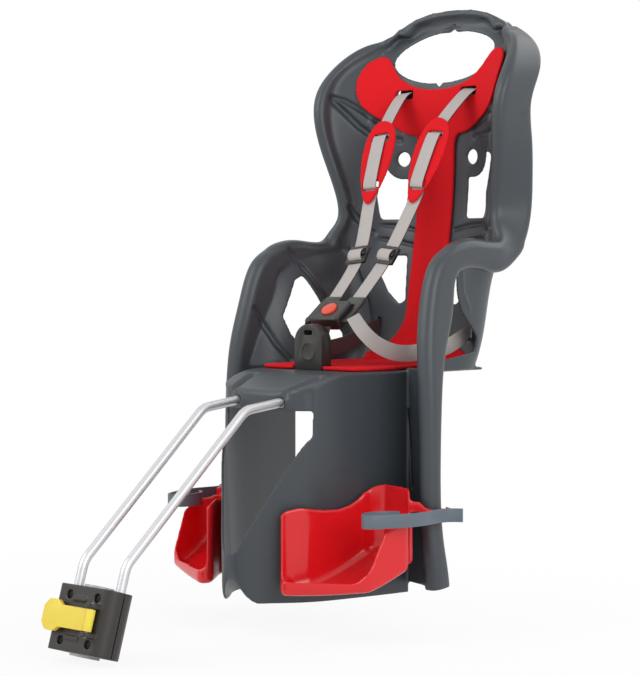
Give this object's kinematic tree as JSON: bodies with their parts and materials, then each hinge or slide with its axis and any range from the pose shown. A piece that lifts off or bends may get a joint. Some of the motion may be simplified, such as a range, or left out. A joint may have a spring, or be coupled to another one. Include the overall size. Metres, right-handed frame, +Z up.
{
  "type": "child bike seat",
  "caption": "Rear child bicycle seat: moulded bucket shell with padding, harness, height-adjustable footrests, and a sprung steel rod held by a quick-release seat-tube bracket.",
  "frame": {"origin": "middle of the seat-tube clamp on the bicycle's seat-tube axis", "axes": "+X the child's left, +Y rearward (the seat faces -Y), +Z up"},
  "size_m": [0.431, 0.7182, 0.8119],
  "materials": {
    "shell": "satin moulded polypropylene",
    "foam": "cloth-faced foam",
    "webbing": "woven webbing",
    "dark_webbing": "woven webbing",
    "black_plastic": "satin",
    "button": "gloss",
    "tray": "gloss",
    "strap_rubber": "satin",
    "rod": "bright zinc",
    "zinc": "zinc",
    "bracket": "satin",
    "liner": "matt",
    "lever": "satin"
  },
  "bodies": {
    "seat": {"seat_shell": "shell", "seat_pad": "foam", "shoulder_strap_left": "webbing", "shoulder_strap_right": "webbing", "shoulder_pad_left": "foam", "shoulder_pad_right": "foam", "strap_adjuster_left": "black_plastic", "strap_adjuster_right": "black_plastic", "lap_strap_left": "webbing", "lap_strap_right": "webbing", "strap_stops": "black_plastic", "buckle_body": "black_plastic", "buckle_tongue_left": "black_plastic", "buckle_tongue_right": "black_plastic", "crotch_strap": "dark_webbing", "crotch_slider": "black_plastic", "crotch_guide": "black_plastic", "carrier_rod": "rod", "rod_clamp_plate": "zinc", "rod_bolts": "zinc", "bracket_front": "bracket", "bracket_rear": "bracket", "tube_liners": "liner", "bracket_bolts": "zinc", "bracket_nuts": "zinc", "lever_pin": "zinc"},
    "button": {"buckle_button": "button"},
    "left_footrest": {"footrest_left": "tray", "foot_strap_left": "strap_rubber"},
    "right_footrest": {"footrest_right": "tray", "foot_strap_right": "strap_rubber"},
    "lever": {"release_lever": "lever"}
  },
  "joints": [
    {"name": "left_footrest_slide", "type": "slide", "parent": "seat", "child": "left_footrest", "axis": [0, 0, 1], "range_m": [0, 0.05]},
    {"name": "right_footrest_slide", "type": "slide", "parent": "seat", "child": "right_footrest", "axis": [0, 0, 1], "range_m": [0, 0.05]},
    {"name": "lever_hinge", "type": "hinge", "parent": "seat", "child": "lever", "pos_m": [0.027, -0.02821, 0.00862], "axis": [0, 0.2924, 0.9563], "range_deg": [0, 60]},
    {"name": "buckle_button_slide", "type": "slide", "parent": "seat", "child": "button", "axis": [0, 0.6, -0.8], "range_m": [0, 0.003], "stiffness_N_per_m": 600, "springref_m": -0.002}
  ]
}
